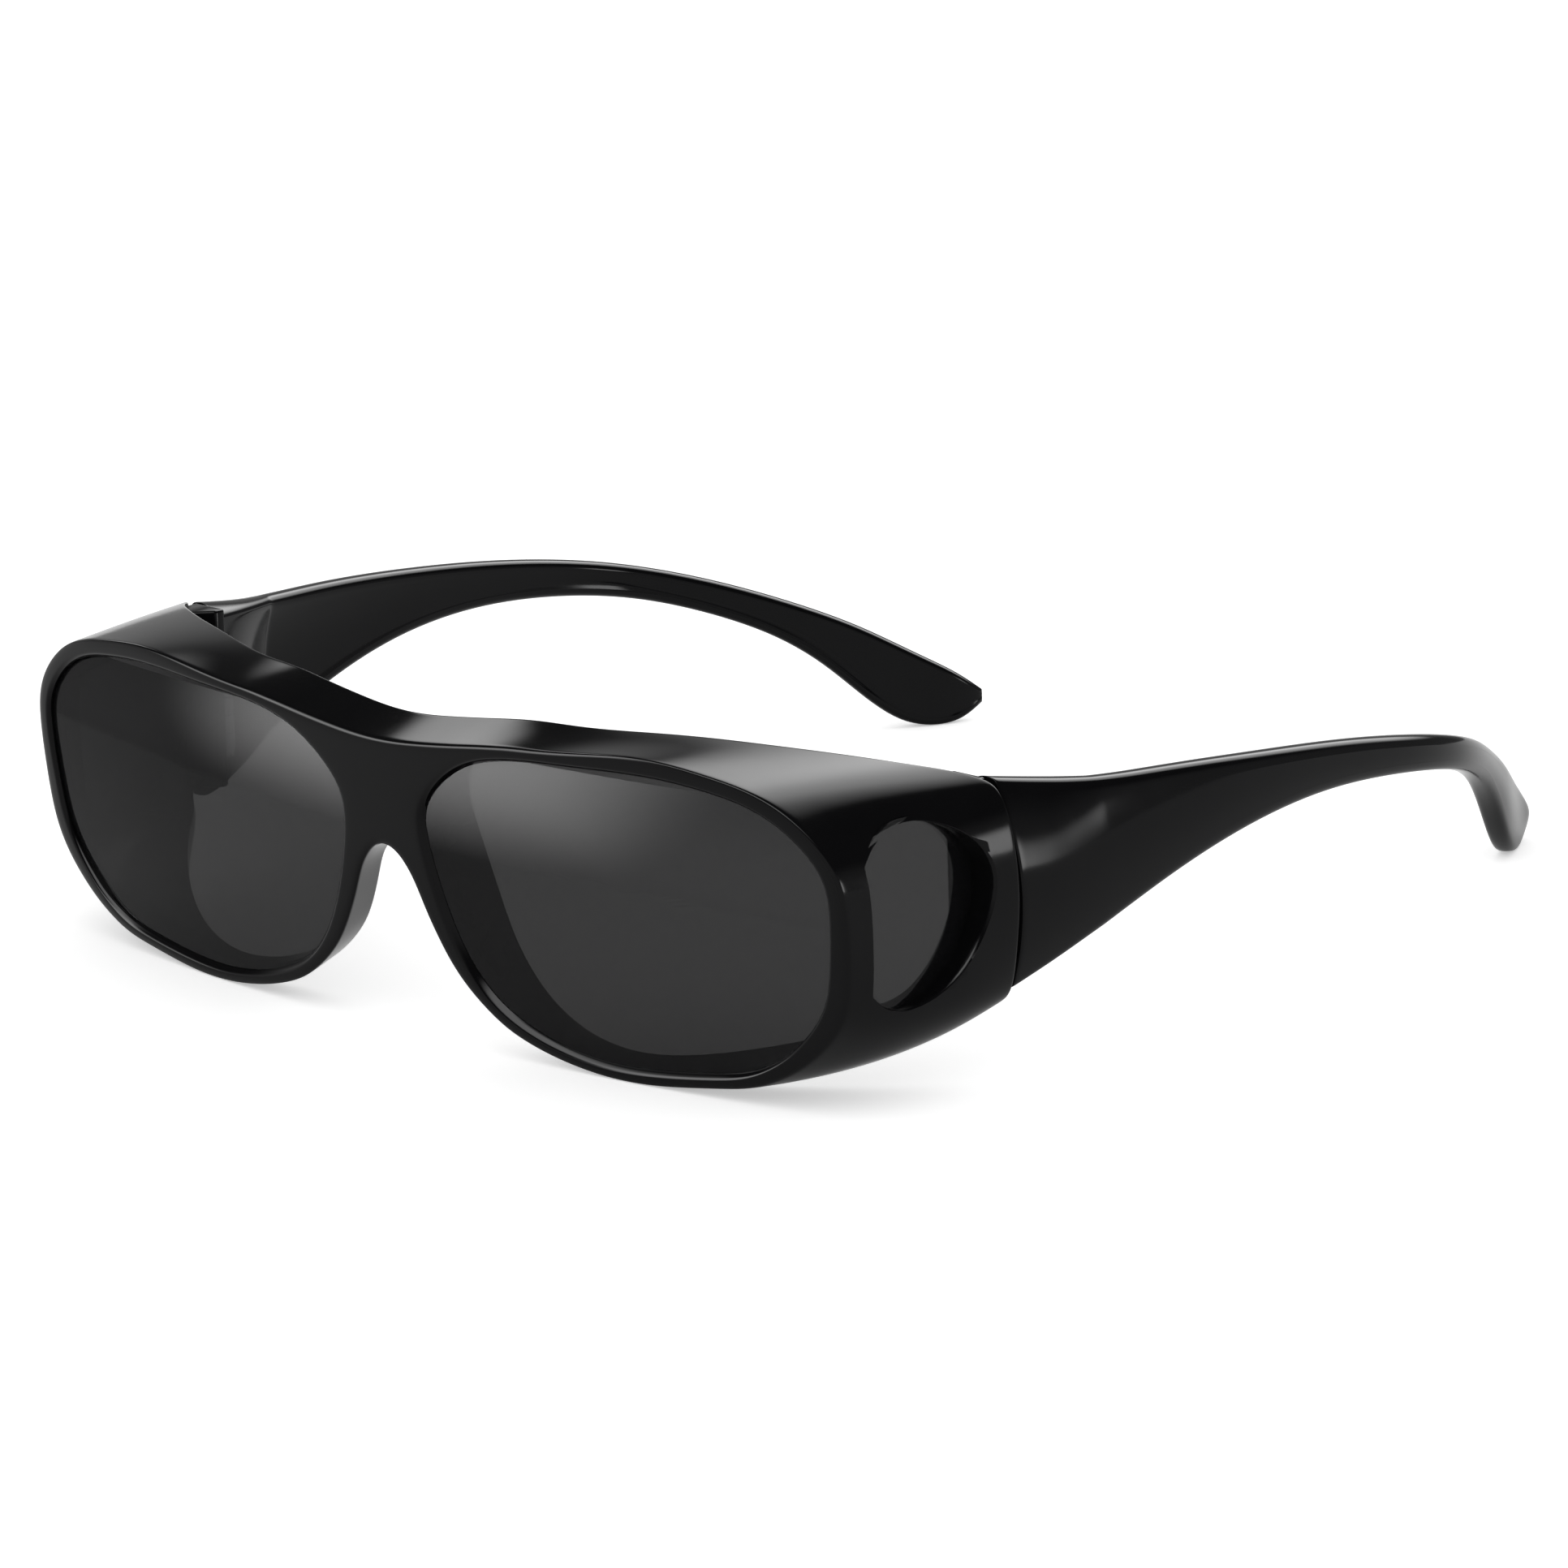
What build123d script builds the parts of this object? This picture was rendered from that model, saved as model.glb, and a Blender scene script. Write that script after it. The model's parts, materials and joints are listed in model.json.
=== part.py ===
from build123d import *
import os
from math import atan2, cos, hypot, radians, sin, tan

# Fitover sunglasses, in millimetres. The glasses stand open on a table, on the floors of both
# rims and on both temple tips. Z is up, the lenses face -Y, and X runs across the face.
# Left and right are the wearer's: the left side is the +X side. The left pieces are made at
# depths counted from the bridge, and the last lines move every piece so that the origin is on
# the table, at the middle of the glasses' box.

# Lens openings, measured on the front surface
opening_width = 65.3
opening_height = 40.6
opening_floor = 1.4
half_bridge = 6.9
bevel = 0.5

# Front surface: a cylinder that leans forward at the top
front_radius = 337.0
face_tilt = 5.1
tilt_height = 22.0

# Rims and the tub behind them, back to the seams with the temples
rim_band = 2.2
seam_depth = 35.2
side_flare = 4.0
wall = 2.2
side_wall = 7.8
front_reach = 8.0
overrun = 5.0

# Bridge
bridge_top = 39.8
bridge_rise = 1.2
bridge_half_block = 14.0
bridge_block_floor = 36.0
brow_slope = 0.34
arch_height = 25.8
arch_floor = 20.0
arch_half_width = 5.6
arch_flare = 0.5

# Lenses
lens_thickness = 1.8
lens_setback = 0.9
groove_depth = 0.7
lens_clearance = 0.05

# Window in each side wall, and its lens
window_front = 12.2
window_floor = 13.5
window_length = 19.2
window_height = 22.9
side_lens_thickness = 1.5
side_lens_inset = 4.5
side_lens_floor_bow = 0.5
side_lens_top_bow = 1.9
side_groove_depth = 0.6

# Temples
temple_length = 128.4
temple_thickness = 3.6
temple_top = 38.8
tip_inset = 27.1
seam_lean = 4.3
seam_gap = 0.35
edge_bulge = 0.45

# Blocks that hold the hinges, on the frame's side walls and on the temples' ends
block_inset = 11.2
block_cover = 6.5
block_floor = 14.6
block_top = 37.8
front_block_length = 1.6
front_block_slant = 3.4

# Hinges: three knuckles on the front's leaf, two on the temple's
barrel_radius = 1.5
pin_radius = 0.7
pin_clearance = 0.04
knuckle_height = 2.4
knuckle_gap = 0.1
knuckle_count = 5
hinge_middle = 25.5
leaf_thickness = 1.0
leaf_length = 4.2
front_leaf_angle = -45.0
temple_leaf_angle = 45.0
pocket_clearance = 0.3
block_relief = 0.1
screw_head_radius = 1.3
screw_head_height = 0.8
screw_slot_width = 0.35
screw_slot_depth = 0.4

# Outlines as shares of the sizes that they follow. An eye's outlines are counted from its
# outer side, over the top, down the nose side and back along the floor.
opening_shares = [
    (1.000, 0.630), (0.977, 0.788), (0.885, 0.916), (0.757, 0.978), (0.599, 1.000),
    (0.421, 0.990), (0.262, 0.975), (0.124, 0.921), (0.028, 0.805), (0.000, 0.630),
    (0.029, 0.448), (0.080, 0.266), (0.182, 0.103), (0.346, 0.015), (0.527, 0.000),
    (0.701, 0.030), (0.859, 0.121), (0.956, 0.281), (0.989, 0.453),
]
band_shares = [
    1.00, 0.95, 0.90, 0.85, 0.95, 0.70, 0.60, 1.15, 2.00, 2.20,
    1.45, 1.10, 0.75, 0.60, 0.66, 0.60, 0.80, 1.15, 1.15,
]
rear_shares = [
    (1.000, 0.566), (0.986, 0.758), (0.944, 0.878), (0.842, 0.941), (0.689, 0.986),
    (0.510, 1.063), (0.357, 1.154), (0.217, 1.200), (0.153, 0.995), (0.255, 0.633),
    (0.281, 0.475), (0.281, 0.339), (0.332, 0.204), (0.408, 0.136), (0.574, 0.136),
    (0.791, 0.170), (0.946, 0.226), (0.980, 0.294), (0.994, 0.430),
]
# Rear edge of the tub: across, then its depth at the brow and at the cheek
trim_shares = [
    (0.000, 0.114, 0.182), (0.128, 0.124, 0.185), (0.268, 0.158, 0.199), (0.408, 0.236, 0.210),
    (0.548, 0.372, 0.273), (0.689, 0.534, 0.426), (0.804, 0.705, 0.625), (0.893, 0.881, 0.852),
    (0.939, 1.023, 1.023),
]
# Widest place of the arch over the nose
arch_shoulder_shares = (0.59, 0.66)
# Side window: back from its straight front edge, and up
window_shares = [
    (0.02, 0.10), (0.00, 0.83), (0.22, 0.97), (0.42, 1.00), (0.70, 0.94), (0.93, 0.79),
    (1.00, 0.62), (0.96, 0.46), (0.75, 0.17), (0.50, 0.03), (0.18, 0.00),
]
# Temple: back from the seam, top, floor, inward sweep, lean of the top and of the floor, and
# thickness
temple_shares = [
    (0.000, 1.000, 0.309, 0.000, 1.00, 0.52, 0.90),
    (0.050, 0.961, 0.387, -0.030, 0.85, 0.40, 0.95),
    (0.113, 0.925, 0.474, -0.055, 0.51, 0.25, 1.00),
    (0.206, 0.900, 0.588, -0.081, 0.28, 0.18, 1.00),
    (0.331, 0.863, 0.688, -0.092, 0.14, 0.12, 0.98),
    (0.463, 0.812, 0.701, -0.063, 0.10, 0.10, 0.92),
    (0.580, 0.745, 0.649, -0.011, 0.10, 0.10, 0.90),
    (0.673, 0.670, 0.575, 0.118, 0.10, 0.10, 0.90),
    (0.759, 0.572, 0.458, 0.347, 0.10, 0.10, 0.90),
    (0.837, 0.454, 0.242, 0.565, 0.12, 0.12, 0.88),
    (0.891, 0.355, 0.067, 0.700, 0.12, 0.12, 0.84),
    (0.942, 0.247, -0.002, 0.840, 0.10, 0.10, 0.76),
    (0.977, 0.165, 0.020, 0.940, 0.08, 0.08, 0.64),
    (1.000, 0.108, 0.066, 1.000, 0.05, 0.05, 0.45),
]
# How far into the temple's wall its end block reaches, at the seam and where the block ends
core_share = 0.5
block_end_share = 0.75
block_end_row = 2

# Sizes that follow
front_height = opening_floor + opening_height + rim_band
front_half_width = half_bridge + opening_width + rim_band
rear_half_width = front_half_width + side_flare
block_inner = rear_half_width - block_inset
pin_x = block_inner + barrel_radius
pin_y = seam_depth + seam_gap / 2
temple_start = seam_depth + seam_gap
knuckle_pitch = knuckle_height + knuckle_gap
hinge_height = knuckle_count * knuckle_pitch - knuckle_gap
hinge_floor = hinge_middle - hinge_height / 2
hinge_top = hinge_floor + hinge_height


def front_y(x, z):
    """Depth of the front surface at a place on the face."""
    return x**2 / (2 * front_radius) - (z - tilt_height) * tan(radians(face_tilt))


def moved_out(points, amounts):
    """Each point of a closed outline, moved outwards and square to its neighbours."""
    moved = []
    before = points[-1:] + points[:-1]
    after = points[1:] + points[:1]
    for (x0, z0), (x, z), (x1, z1), amount in zip(before, points, after, amounts):
        run = hypot(x1 - x0, z1 - z0)
        moved.append((x + amount * (z1 - z0) / run, z - amount * (x1 - x0) / run))
    return moved


def carried_to(depth, front_points, rear_points):
    """The outline at a depth, on straight lines from the front surface to the seam plane."""
    carried = []
    for (x, z), (rear_x, rear_z) in zip(front_points, rear_points):
        start = front_y(x, z)
        share = (depth - start) / (seam_depth - start)
        carried.append((x + (rear_x - x) * share, z + (rear_z - z) * share))
    return carried


opening_points = [
    (half_bridge + x * opening_width, opening_floor + z * opening_height)
    for x, z in opening_shares
]
point_count = len(opening_points)
clear_points = moved_out(opening_points, [-bevel] * point_count)
rim_points = moved_out(opening_points, [share * rim_band for share in band_shares])
rear_points = [(x * rear_half_width, z * front_height) for x, z in rear_shares]
inner_points = moved_out(rear_points, [-wall] * point_count)

# Every outline of an eye runs at the same pace round its points, so that lofts stay smooth
pace = [0.0]
for k in range(point_count):
    step = 0.0
    for outline in (rim_points, rear_points):
        (x0, z0), (x1, z1) = outline[k], outline[(k + 1) % point_count]
        step += hypot(x1 - x0, z1 - z0)
    pace.append(pace[-1] + step)


def upright(depth):
    """Plane across the glasses at a depth, seen from the front."""
    return Plane((0, depth, 0), x_dir=(1, 0, 0), z_dir=(0, -1, 0))


def eye_loft(front_points, back_points, start, end):
    """Solid with straight walls from an outline on the front surface to one at the seam."""
    with BuildPart() as body:
        for depth in (start, end):
            with BuildSketch(upright(depth)):
                with BuildLine():
                    outline = carried_to(depth, front_points, back_points)
                    add(Edge.make_spline(outline, periodic=True, parameters=pace))
                make_face()
        loft(ruled=True)
    return body.part


def front_drum(setback, depth):
    """Shell that follows the front surface, from a setback to a depth behind it."""
    lean = radians(face_tilt)
    reach = front_radius * sin(lean)
    centre = (0, front_radius * cos(lean), tilt_height + reach)
    base = Plane(centre, x_dir=(1, 0, 0), z_dir=(0, -sin(lean), cos(lean)))
    with BuildPart() as drum:
        with BuildSketch(base.offset(-front_height - reach)):
            Circle(front_radius - setback)
            if depth < front_radius:
                Circle(front_radius - depth, mode=Mode.SUBTRACT)
        extrude(amount=2 * front_height + reach)
    return drum.part


def eye_cavity():
    """The open space of one eye, from the lens opening back past the seam plane."""
    start_x = half_bridge + opening_width - bevel
    start_y = front_y(start_x, tilt_height)
    slope = (rear_half_width - side_wall - start_x) / (seam_depth - start_y)
    front = -front_reach - overrun
    back = seam_depth + 2 * overrun
    with BuildPart() as cavity:
        add(eye_loft(clear_points, inner_points, -front_reach, seam_depth + overrun))
        with BuildSketch(Plane.XY.offset(-overrun)):
            with BuildLine():
                Polyline(
                    (0, front),
                    (start_x + slope * (front - start_y), front),
                    (start_x + slope * (back - start_y), back),
                    (0, back),
                    close=True,
                )
            make_face()
        extrude(amount=2 * front_height, mode=Mode.INTERSECT)
    return cavity.part


def eye_slice(points, back_points, setback, depth):
    """Slice of an eye's straight-walled space that follows the front surface."""
    with BuildPart() as slice_body:
        add(eye_loft(points, back_points, -front_reach, front_reach + seam_depth / 2))
        add(front_drum(setback, depth), mode=Mode.INTERSECT)
    return slice_body.part


def rear_trim():
    """Everything behind the tub's rear edge, for the +X side."""
    back = seam_depth + 2 * overrun
    with BuildPart() as trim:
        for level, column in ((-overrun, 2), (front_height + 2 * overrun, 1)):
            edge = [(row[0] * rear_half_width, row[column] * seam_depth) for row in trim_shares]
            first, last = edge[0], edge[-1]
            with BuildSketch(Plane.XY.offset(level)):
                with BuildLine():
                    Spline(*edge, tangents=[(1, 0), (0, 1)])
                    Polyline(last, (last[0], back), (first[0], back), first)
                make_face()
        loft(ruled=True)
    return trim.part


def bridge():
    """The bridge's +X half, through the whole depth, with the arch over the nose."""
    side = bridge_half_block
    shoulder_x, shoulder_z = arch_shoulder_shares
    with BuildPart() as body:
        for depth in (-front_reach, front_reach):
            top = bridge_top + brow_slope * (depth - front_y(0, bridge_top))
            foot = arch_half_width + arch_flare * (depth - front_y(0, arch_floor))
            shoulder = (shoulder_x * foot, arch_floor + shoulder_z * (arch_height - arch_floor))
            middle = (side / 2, top + bridge_rise / 3)
            corner = (side, top + bridge_rise)
            with BuildSketch(upright(depth)):
                with BuildLine():
                    Line((0, arch_height), (0, top))
                    ThreePointArc((0, top), middle, corner)
                    Line(corner, (side, bridge_block_floor))
                    Line((side, bridge_block_floor), (foot, arch_floor))
                    Spline((foot, arch_floor), shoulder, (0, arch_height))
                make_face()
        loft(ruled=True)
    return body.part


def window_prism(growth, inner_x):
    """The side window's outline, grown by a margin, from a place inside the wall outwards."""
    points = [
        (window_front + y * window_length, window_floor + z * window_height)
        for y, z in window_shares
    ]
    points = moved_out(points, [-growth] * len(points))
    with BuildPart() as prism:
        with BuildSketch(Plane.YZ.offset(inner_x)):
            with BuildLine():
                Line(points[0], points[1])
                Spline(*points[1:], points[0])
            make_face()
        extrude(amount=rear_half_width + overrun - inner_x)
    return prism.part


def side_sheet(margin):
    """Curved sheet of the side lens's thickness, grown by a margin on both faces."""
    outer_x = rear_half_width - side_lens_inset
    floor_z, top_z = window_floor - overrun, window_floor + window_height + overrun
    middle_z = (floor_z + top_z) / 2
    depths = (margin, -side_lens_thickness - margin)
    with BuildPart() as sheet:
        with BuildSketch(upright(window_front - overrun)):
            with BuildLine():
                arcs = [
                    ThreePointArc(
                        (outer_x - side_lens_floor_bow + depth, floor_z),
                        (outer_x + depth, middle_z),
                        (outer_x - side_lens_top_bow + depth, top_z),
                    )
                    for depth in depths
                ]
                Line(arcs[0] @ 0, arcs[1] @ 0)
                Line(arcs[0] @ 1, arcs[1] @ 1)
            make_face()
        extrude(amount=-window_length - 2 * overrun)
    return sheet.part


def hinge_plane(angle, height):
    """Level plane with its origin on the pin's axis and its X axis along a leaf."""
    lean = radians(angle)
    return Plane((pin_x, pin_y, height), x_dir=(cos(lean), sin(lean), 0), z_dir=(0, 0, 1))


def hinge_leaf(first_knuckle, angle):
    """Stamped leaf: every other knuckle of the barrel, with necks and a flat plate."""
    plate_start = barrel_radius + pocket_clearance
    plate_length = leaf_length - plate_start
    with BuildPart() as leaf:
        for k in range(first_knuckle, knuckle_count, 2):
            with BuildSketch(hinge_plane(angle, hinge_floor + k * knuckle_pitch)):
                Circle(barrel_radius)
                Rectangle(plate_start, leaf_thickness, align=(Align.MIN, Align.CENTER))
            extrude(amount=knuckle_height)
        with BuildSketch(hinge_plane(angle, hinge_floor)):
            with Locations((plate_start, 0)):
                Rectangle(plate_length, leaf_thickness, align=(Align.MIN, Align.CENTER))
        extrude(amount=hinge_height)
        with BuildSketch(hinge_plane(angle, hinge_floor)):
            Circle(pin_radius + pin_clearance)
        extrude(amount=hinge_height, mode=Mode.SUBTRACT)
    return leaf.part


def hinge_room(angle):
    """Room for the barrel, the screw from below, and one leaf's plate."""
    room_floor = block_floor - overrun
    with BuildPart() as room:
        with BuildSketch(hinge_plane(angle, room_floor)):
            Circle(barrel_radius + pocket_clearance)
        extrude(amount=hinge_top + knuckle_gap - room_floor)
        with BuildSketch(hinge_plane(angle, hinge_floor)):
            Rectangle(leaf_length, leaf_thickness, align=(Align.MIN, Align.CENTER))
        extrude(amount=hinge_height)
    return room.part


def temple_plane(k):
    """Upright plane across the temple at one row of its table, square to the temple."""
    places = [
        (rear_half_width - row[3] * tip_inset, temple_start + row[0] * temple_length)
        for row in temple_shares
    ]
    x, y = places[k]
    if k == 0:
        return upright(y).move(Location((x, 0, 0)))
    (x0, y0), (x1, y1) = places[k - 1], places[min(k + 1, len(places) - 1)]
    turn = atan2(x0 - x1, y1 - y0)
    return Plane((x, y, 0), x_dir=(cos(turn), sin(turn), 0), z_dir=(sin(turn), -cos(turn), 0))


def temple_arc_points(k, depth_share):
    """Top, middle and floor of the temple's wall at one row, at a share of its thickness."""
    top, floor = (share * temple_top for share in temple_shares[k][1:3])
    top_lean, floor_lean = (share * seam_lean for share in temple_shares[k][4:6])
    depth = depth_share * temple_shares[k][6] * temple_thickness
    return [
        (-top_lean - depth, top),
        (-depth, (top + floor) / 2),
        (-floor_lean - depth, floor),
    ]


def bulged(start, end, rise):
    """Arc between two points whose middle stands up or down by a rise."""
    middle = ((start[0] + end[0]) / 2, (start[1] + end[1]) / 2 + rise)
    return ThreePointArc(start, middle, end)


# Front frame: one moulding, made as its +X half and mirrored
eye_body = eye_loft(rim_points, rear_points, -front_reach, seam_depth)
groove_points = moved_out(clear_points, [groove_depth + lens_clearance] * point_count)
groove_back = moved_out(inner_points, [groove_depth + lens_clearance] * point_count)
front_room = hinge_room(front_leaf_angle)

with BuildPart() as front_frame:
    add(eye_body)
    add(bridge())
    add(front_drum(0, front_radius), mode=Mode.INTERSECT)
    add(rear_trim(), mode=Mode.SUBTRACT)
    add(eye_cavity(), mode=Mode.SUBTRACT)
    # Block for the hinge, on the inner side of the side wall
    with BuildSketch(Plane.XY.offset(block_floor)):
        with BuildLine():
            Polyline(
                (block_inner, seam_depth),
                (block_inner, seam_depth - front_block_length),
                (rear_half_width - side_wall, seam_depth - front_block_length - front_block_slant),
                (block_inner + block_cover, seam_depth - front_block_length - front_block_slant),
                (block_inner + block_cover, seam_depth),
                close=True,
            )
        make_face()
    extrude(amount=block_top - block_floor)
    # Step round the opening, groove for the lens, side window with its groove
    add(eye_slice(opening_points, rear_points, -overrun, bevel), mode=Mode.SUBTRACT)
    add(
        eye_slice(
            groove_points,
            groove_back,
            lens_setback - lens_clearance,
            lens_setback + lens_thickness + lens_clearance,
        ),
        mode=Mode.SUBTRACT,
    )
    add(window_prism(0, rear_half_width - side_wall), mode=Mode.SUBTRACT)
    groove = window_prism(side_groove_depth + lens_clearance, block_inner)
    add(groove.intersect(side_sheet(lens_clearance)), mode=Mode.SUBTRACT)
    add(front_room, mode=Mode.SUBTRACT)
    split(bisect_by=Plane.XY)
    mirror(about=Plane.YZ)

with BuildPart() as lens_left:
    lens_points = moved_out(clear_points, [groove_depth] * point_count)
    lens_back = moved_out(inner_points, [groove_depth] * point_count)
    add(eye_slice(lens_points, lens_back, lens_setback, lens_setback + lens_thickness))

with BuildPart() as side_lens_left:
    add(window_prism(side_groove_depth, block_inner))
    add(side_sheet(0), mode=Mode.INTERSECT)

# Hinge: two leaves moulded into the blocks, and the screw that is their pin
with BuildPart() as hinge_leaf_front_left:
    add(hinge_leaf(0, front_leaf_angle))

with BuildPart() as hinge_leaf_temple_left:
    add(hinge_leaf(1, temple_leaf_angle))

with BuildPart() as hinge_screw_left:
    with BuildSketch(hinge_plane(0, hinge_floor)):
        Circle(pin_radius)
    extrude(amount=hinge_height)
    with BuildSketch(hinge_plane(0, hinge_floor - screw_head_height)):
        Circle(screw_head_radius)
    extrude(amount=screw_head_height)
    with BuildSketch(hinge_plane(0, hinge_floor - screw_head_height)):
        Rectangle(2 * screw_head_radius, screw_slot_width)
    extrude(amount=screw_slot_depth, mode=Mode.SUBTRACT)

# Temple: a curved, tapering arm, with a block at its end that carries the hinge
with BuildPart() as temple_left:
    for k in range(len(temple_shares)):
        outer, inner = temple_arc_points(k, 0), temple_arc_points(k, 1)
        with BuildSketch(temple_plane(k)):
            with BuildLine():
                ThreePointArc(*outer)
                bulged(outer[2], inner[2], -edge_bulge * temple_shares[k][6])
                ThreePointArc(*reversed(inner))
                bulged(inner[0], outer[0], edge_bulge * temple_shares[k][6])
            make_face()
    loft()
    with BuildSketch(temple_plane(0)):
        top, middle, floor = temple_arc_points(0, core_share)
        block_x = pin_x + block_relief - rear_half_width
        with BuildLine():
            ThreePointArc(top, middle, floor)
            Polyline(floor, (block_x, block_floor), (block_x, block_top), top)
        make_face()
    with BuildSketch(temple_plane(block_end_row)):
        outer = temple_arc_points(block_end_row, core_share)
        inner = temple_arc_points(block_end_row, block_end_share)
        with BuildLine():
            ThreePointArc(*outer)
            Polyline(outer[2], inner[2], inner[0], outer[0])
        make_face()
    loft(ruled=True)
    add(hinge_room(temple_leaf_angle), mode=Mode.SUBTRACT)
    split(bisect_by=Plane.XY)

left_pieces = {
    "lens": lens_left,
    "side_lens": side_lens_left,
    "temple": temple_left,
    "hinge_leaf_front": hinge_leaf_front_left,
    "hinge_leaf_temple": hinge_leaf_temple_left,
    "hinge_screw": hinge_screw_left,
}

# The right pieces mirror the left ones, and every piece is moved onto the origin
pieces = {"front_frame": front_frame}
for name, left_piece in left_pieces.items():
    with BuildPart() as right_piece:
        mirror(left_piece.part, about=Plane.YZ)
    pieces[name + "_left"] = left_piece
    pieces[name + "_right"] = right_piece

front_depth = front_frame.part.bounding_box().min.Y
tip_depth = temple_left.part.bounding_box().max.Y
middle_depth = (front_depth + tip_depth) / 2

os.makedirs("parts", exist_ok=True)
for name, piece in pieces.items():
    with BuildPart() as placed:
        with Locations((0, -middle_depth, 0)):
            add(piece.part)
    placed.part.label = name
    export_step(placed.part, f"parts/{name}.step")
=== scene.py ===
import json
from math import atan2, cos, pi, radians, sin, tan

import bpy
import numpy as np
from mathutils import Matrix, Vector
from mathutils.bvhtree import BVHTree


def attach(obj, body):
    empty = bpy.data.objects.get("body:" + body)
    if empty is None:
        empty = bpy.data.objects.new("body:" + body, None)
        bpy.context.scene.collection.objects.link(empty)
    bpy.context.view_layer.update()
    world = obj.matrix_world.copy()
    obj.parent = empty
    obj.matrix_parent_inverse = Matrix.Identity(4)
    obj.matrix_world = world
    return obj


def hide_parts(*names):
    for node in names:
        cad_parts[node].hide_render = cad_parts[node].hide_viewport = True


# Fitover sunglasses, standing open on a white table. Shapes are worked out in millimetres, with
# depths counted from the bridge, and place() puts them in the frame's metres. Left is the
# wearer's left, the +X side, and each right piece mirrors the left one.
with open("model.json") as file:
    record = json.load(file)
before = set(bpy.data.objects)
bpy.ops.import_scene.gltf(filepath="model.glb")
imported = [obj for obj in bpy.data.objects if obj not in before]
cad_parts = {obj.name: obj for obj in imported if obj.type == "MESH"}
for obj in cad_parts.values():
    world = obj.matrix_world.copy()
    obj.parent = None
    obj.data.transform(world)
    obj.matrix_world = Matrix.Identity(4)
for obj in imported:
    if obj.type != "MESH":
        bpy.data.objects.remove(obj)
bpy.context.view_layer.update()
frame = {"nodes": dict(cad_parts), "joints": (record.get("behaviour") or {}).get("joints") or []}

MM = 0.001
hinge_place = next(j["pos_m"] for j in frame["joints"] if j["name"] == "left_temple_fold")
pin_x, pin_row_y, hinge_middle = [value / MM for value in hinge_place]

# How near two corners lie to count as one, to be merged in a net, and to be merged in mirroring
touching = 0.001
weld = 0.002
mirror_weld = 0.01

# Front frame
opening_width = 65.3
opening_height = 40.6
opening_floor = 1.4
half_bridge = 6.9
bevel = 0.5
front_radius = 337.0
face_tilt = radians(5.1)
tilt_height = 22.0
rim_band = 2.2
seam_depth = 35.2
side_flare = 4.0
wall = 2.2
side_wall = 7.8
front_height = opening_floor + opening_height + rim_band
front_half_width = half_bridge + opening_width + rim_band
rear_half_width = front_half_width + side_flare

# Lenses
lens_thickness = 1.8
lens_setback = 0.9
lens_hold = 0.7
lens_clearance = 0.05
curve_start = 9.0
curve_fall = 8.0

# Side windows and their lenses
window_front = 12.2
window_floor = 13.5
window_length = 19.2
window_height = 22.9
side_lens_thickness = 1.5
side_lens_inset = 4.5
side_lens_hold = 0.6
side_lens_bows = (0.5, 1.9)
side_lens_margin = 5.0

# Temples
temple_length = 128.4
temple_thickness = 3.6
temple_top = 38.8
tip_inset = 27.1
seam_lean = 4.3
seam_gap = 0.35
edge_bulge = 0.45
temple_start = seam_depth + seam_gap
pin_y = seam_depth + seam_gap / 2
row_shift = pin_row_y - pin_y

# Hinge blocks and the room in them for the hinges
block_inner = 67.2
block_cover = 5.6
block_floor = 14.6
block_top = 37.8
front_block_top = 39.0
block_relief = 0.1
front_block_length = 1.6
front_block_slant = 3.4
front_block_edge = 0.35
barrel_room = 1.8
barrel_end_room = 0.1
barrel_sides = 40
screw_room = 5.0
leaf_length = 4.2
leaf_thickness = 1.0
front_leaf_angle = radians(-45)
temple_leaf_angle = radians(45)
hinge_height = 12.4
hinge_floor = hinge_middle - hinge_height / 2

# Outlines of the left eye, from its outer side over the top, as shares of the sizes above
opening_shares = [
    (1.000, 0.630), (0.977, 0.788), (0.885, 0.916), (0.757, 0.978), (0.599, 1.000),
    (0.421, 0.990), (0.262, 0.975), (0.124, 0.921), (0.028, 0.805), (0.000, 0.630),
    (0.029, 0.448), (0.080, 0.266), (0.182, 0.103), (0.346, 0.015), (0.527, 0.000),
    (0.701, 0.030), (0.859, 0.121), (0.956, 0.281), (0.989, 0.453),
]
band_shares = [
    1.00, 0.95, 0.90, 0.85, 0.95, 0.70, 0.60, 1.15, 2.00, 2.20,
    1.45, 1.10, 0.75, 0.60, 0.66, 0.60, 0.80, 1.15, 1.15,
]
rear_shares = [
    (1.000, 0.566), (0.986, 0.758), (0.944, 0.878), (0.842, 0.941), (0.689, 0.986),
    (0.510, 1.063), (0.357, 1.154), (0.217, 1.200), (0.153, 0.995), (0.255, 0.633),
    (0.281, 0.475), (0.281, 0.339), (0.332, 0.204), (0.408, 0.136), (0.574, 0.136),
    (0.791, 0.170), (0.946, 0.226), (0.980, 0.294), (0.994, 0.430),
]
# Rear edge of the tub: across, then its depth at the brow and at the cheek
trim_shares = [
    (0.000, 0.114, 0.260), (0.128, 0.124, 0.305), (0.268, 0.170, 0.272), (0.408, 0.254, 0.235),
    (0.548, 0.392, 0.273), (0.689, 0.552, 0.426), (0.804, 0.717, 0.625), (0.893, 0.885, 0.852),
    (0.939, 1.023, 1.023),
]
# How far the outer wall swells halfway back, in millimetres, at each point of an eye's outline
swell = [
    -0.3, -0.3, 0.1, 0.2, 0.0, 0.0, 0.0, 0.0, 0.0, 0.0,
    0.0, 0.0, 0.0, 0.0, 0.3, 1.2, 2.2, 1.6, 0.4,
]
# How far below the table and above the front the cheek's and the brow's depths are reached, and
# how often the search for this edge halves its span
trim_foot = 5.0
trim_head = 10.0
trim_halvings = 30
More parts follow.
